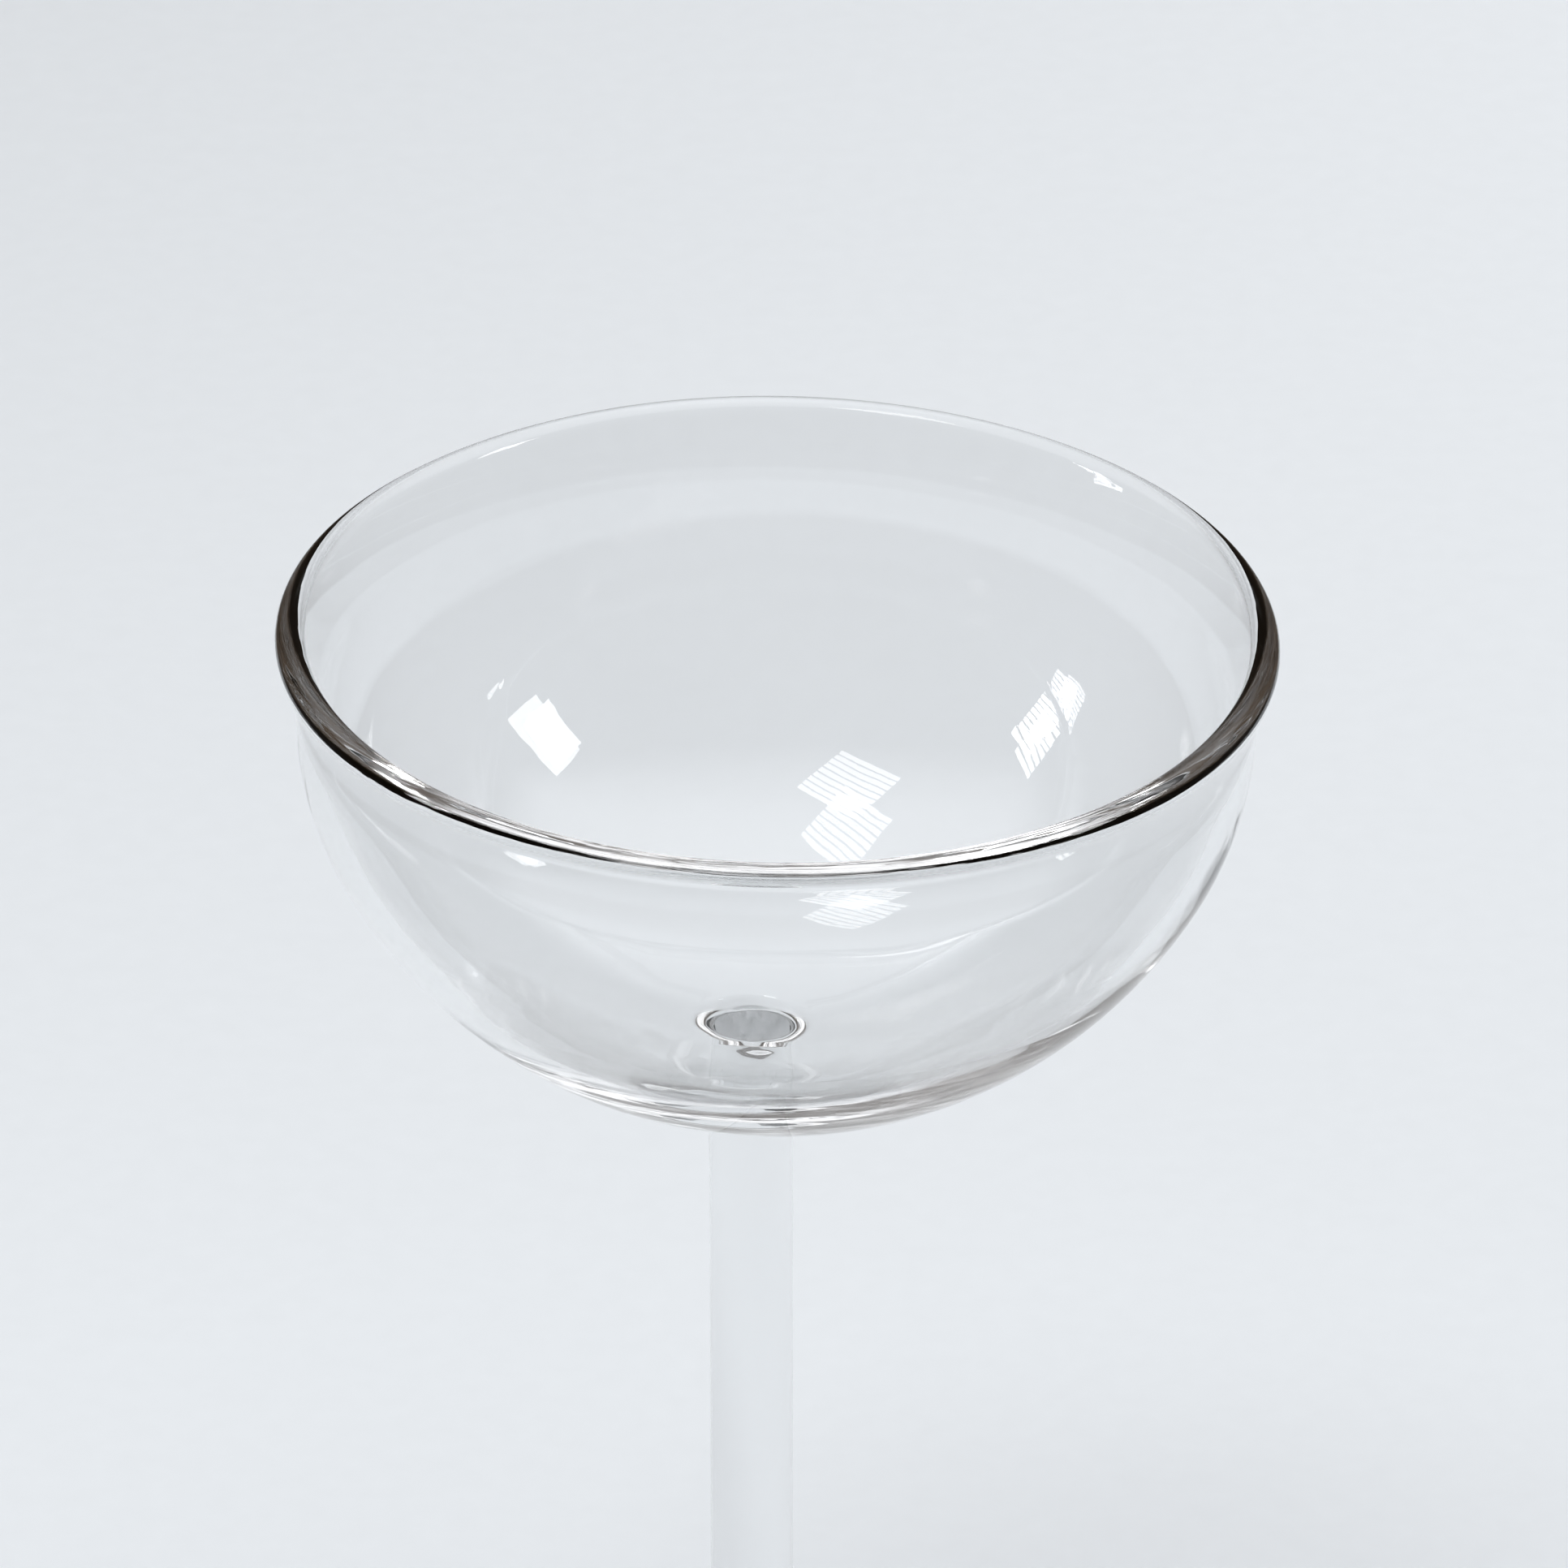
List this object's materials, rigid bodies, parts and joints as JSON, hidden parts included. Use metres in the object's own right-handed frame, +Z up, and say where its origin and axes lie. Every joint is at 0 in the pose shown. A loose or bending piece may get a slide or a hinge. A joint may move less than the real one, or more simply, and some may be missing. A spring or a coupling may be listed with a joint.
{
  "type": "martini glass",
  "caption": "Clear stemmed cocktail glass with a deep half-round bowl, a slightly flared round lip, a slim solid rod stem and a flat round foot.",
  "frame": {"origin": "centre of the foot's underside, on the stem's axis", "axes": "+Z up along the stem; the bowl sits 2.6 mm off the stem's axis along +X and leans 0.95 degrees towards +X"},
  "size_m": [0.095, 0.095, 0.1503],
  "materials": {
    "bowl_glass": "clear blown borosilicate, fire-polished",
    "stem_glass": "clear solid drawn rod, smooth",
    "foot_glass": "clear pressed disc, flame-smoothed"
  },
  "bodies": {
    "root": {"bowl": "bowl_glass", "stem": "stem_glass", "foot": "foot_glass"}
  },
  "joints": []
}
